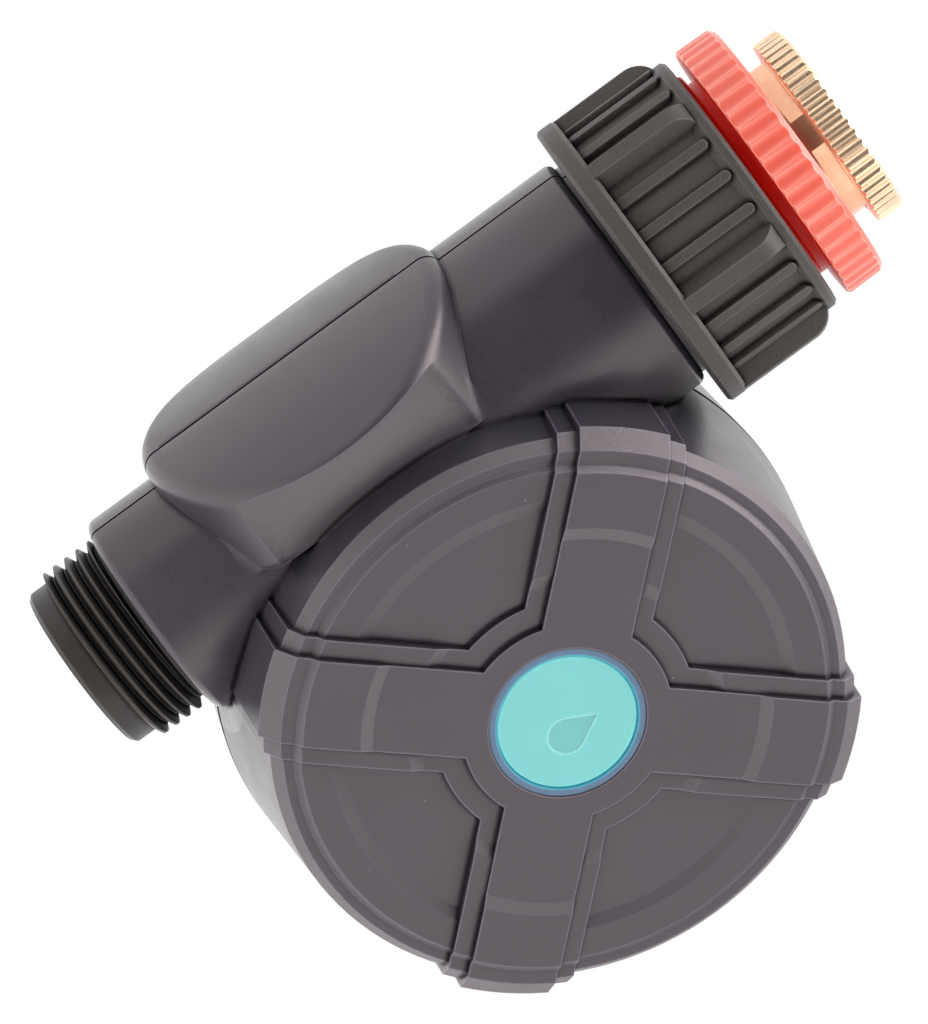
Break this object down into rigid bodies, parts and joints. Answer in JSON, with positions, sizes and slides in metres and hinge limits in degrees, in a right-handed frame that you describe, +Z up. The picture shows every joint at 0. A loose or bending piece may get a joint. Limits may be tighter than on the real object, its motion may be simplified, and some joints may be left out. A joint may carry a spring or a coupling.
{
  "type": "bluetooth water timer",
  "caption": "Tap-mounted water timer: a round drum with a raised cross and a push button beside a tube that holds a motor-driven ball valve, with a grip collar and screw-in reducers.",
  "frame": {"origin": "centre of the inlet's mouth, the upper face of the brass reducer where the tap screws in", "axes": "+Z up along the water tube towards the tap, +X from the tube across to the drum, +Y to the back, so the drum's face with its button looks along -Y"},
  "size_m": [0.0971, 0.0508, 0.1232],
  "materials": {
    "casing": "satin moulded, warm dark grey",
    "collar": "satin moulded, dark grey",
    "pipe": "satin moulded, near black",
    "light_guide": "translucent blue-grey",
    "button": "satin turquoise",
    "red": "translucent coral",
    "brass": "turned and knurled",
    "brass_dark": "turned",
    "rubber": "plain",
    "mesh": "fine mesh",
    "seat": "smooth",
    "ball": "polished",
    "gear": "natural",
    "gearbox": "moulded",
    "steel": "plain",
    "contact": "nickel plated",
    "board": "lacquered",
    "black_part": "moulded",
    "radio": "pressed screen can",
    "led": "clear",
    "cell": "printed sleeve, plain"
  },
  "bodies": {
    "main": {"front_shell": "casing", "rear_shell": "casing", "shell_screws": "steel", "light_ring": "light_guide", "circuit_board": "board", "board_screws": "steel", "tact_switch": "black_part", "indicator_leds": "led", "radio_module": "radio", "valve_body": "pipe", "seat_lower": "seat", "seat_upper": "seat", "seat_retainer": "pipe", "idler_axle": "steel", "motor": "steel", "gearbox_base": "gearbox", "gearbox_cover": "gearbox", "gearbox_screws": "steel", "batteries": "cell", "contact_plates": "contact", "contact_springs": "contact", "pipe_seals": "rubber"},
    "button": {"button_cap": "button"},
    "valve_rotor": {"ball": "ball", "stem": "brass_dark", "stem_seals": "rubber", "stem_gear": "gear"},
    "idler": {"idler_gear": "gear"},
    "pinion": {"motor_pinion": "brass_dark", "motor_shaft": "steel"},
    "collar": {"collar_nut": "collar"},
    "inlet_washer_and_filter": {"inlet_washer": "rubber", "inlet_filter": "mesh"},
    "wide_reducer": {"red_reducer": "red"},
    "narrow_washer": {"brass_washer": "rubber"},
    "narrow_reducer": {"brass_reducer": "brass"},
    "battery_lid": {"battery_cover": "casing", "cover_gasket": "rubber", "cover_screws": "steel"}
  },
  "joints": [
    {"name": "button_press", "type": "slide", "parent": "main", "child": "button", "axis": [0, 1, 0], "range_m": [0, 0.0006], "stiffness_N_per_m": 2000},
    {"name": "valve_turn", "type": "hinge", "parent": "main", "child": "valve_rotor", "pos_m": [0, 0, -0.0751], "axis": [1, 0, 0], "range_deg": [0, 90]},
    {"name": "idler_turn", "type": "hinge", "parent": "main", "child": "idler", "pos_m": [0, 0, -0.0559], "axis": [1, 0, 0], "range_deg": [-270, 0]},
    {"name": "pinion_turn", "type": "hinge", "parent": "main", "child": "pinion", "pos_m": [0, -0.01049, -0.0669], "axis": [1, 0, 0], "range_deg": [0, 585]},
    {"name": "collar_turn", "type": "hinge", "parent": "main", "child": "collar", "pos_m": [0, 0, -0.0251], "axis": [0, 0, 1], "continuous": true},
    {"name": "wide_reducer_rise", "type": "slide", "parent": "main", "child": "inlet_washer_and_filter", "axis": [0, 0, 1], "range_m": [0, 0.01155]},
    {"name": "wide_reducer_turn", "type": "hinge", "parent": "inlet_washer_and_filter", "child": "wide_reducer", "pos_m": [0, 0, -0.0151], "axis": [0, 0, 1], "range_deg": [0, 1800]},
    {"name": "narrow_reducer_rise", "type": "slide", "parent": "wide_reducer", "child": "narrow_washer", "axis": [0, 0, 1], "range_m": [0, 0.01089]},
    {"name": "narrow_reducer_turn", "type": "hinge", "parent": "narrow_washer", "child": "narrow_reducer", "pos_m": [0, 0, -0.0051], "axis": [0, 0, 1], "range_deg": [0, 2160]},
    {"name": "battery_lid_pull", "type": "slide", "parent": "main", "child": "battery_lid", "axis": [0, 1, 0], "range_m": [0, 0.02]}
  ],
  "couplings": [
    {"joint": "idler_turn", "follows": "valve_turn", "ratio": -3},
    {"joint": "pinion_turn", "follows": "valve_turn", "ratio": 6.5},
    {"joint": "wide_reducer_rise", "follows": "wide_reducer_turn", "m_per_rad": 0.00036749},
    {"joint": "narrow_reducer_rise", "follows": "narrow_reducer_turn", "m_per_rad": 0.00028871}
  ]
}
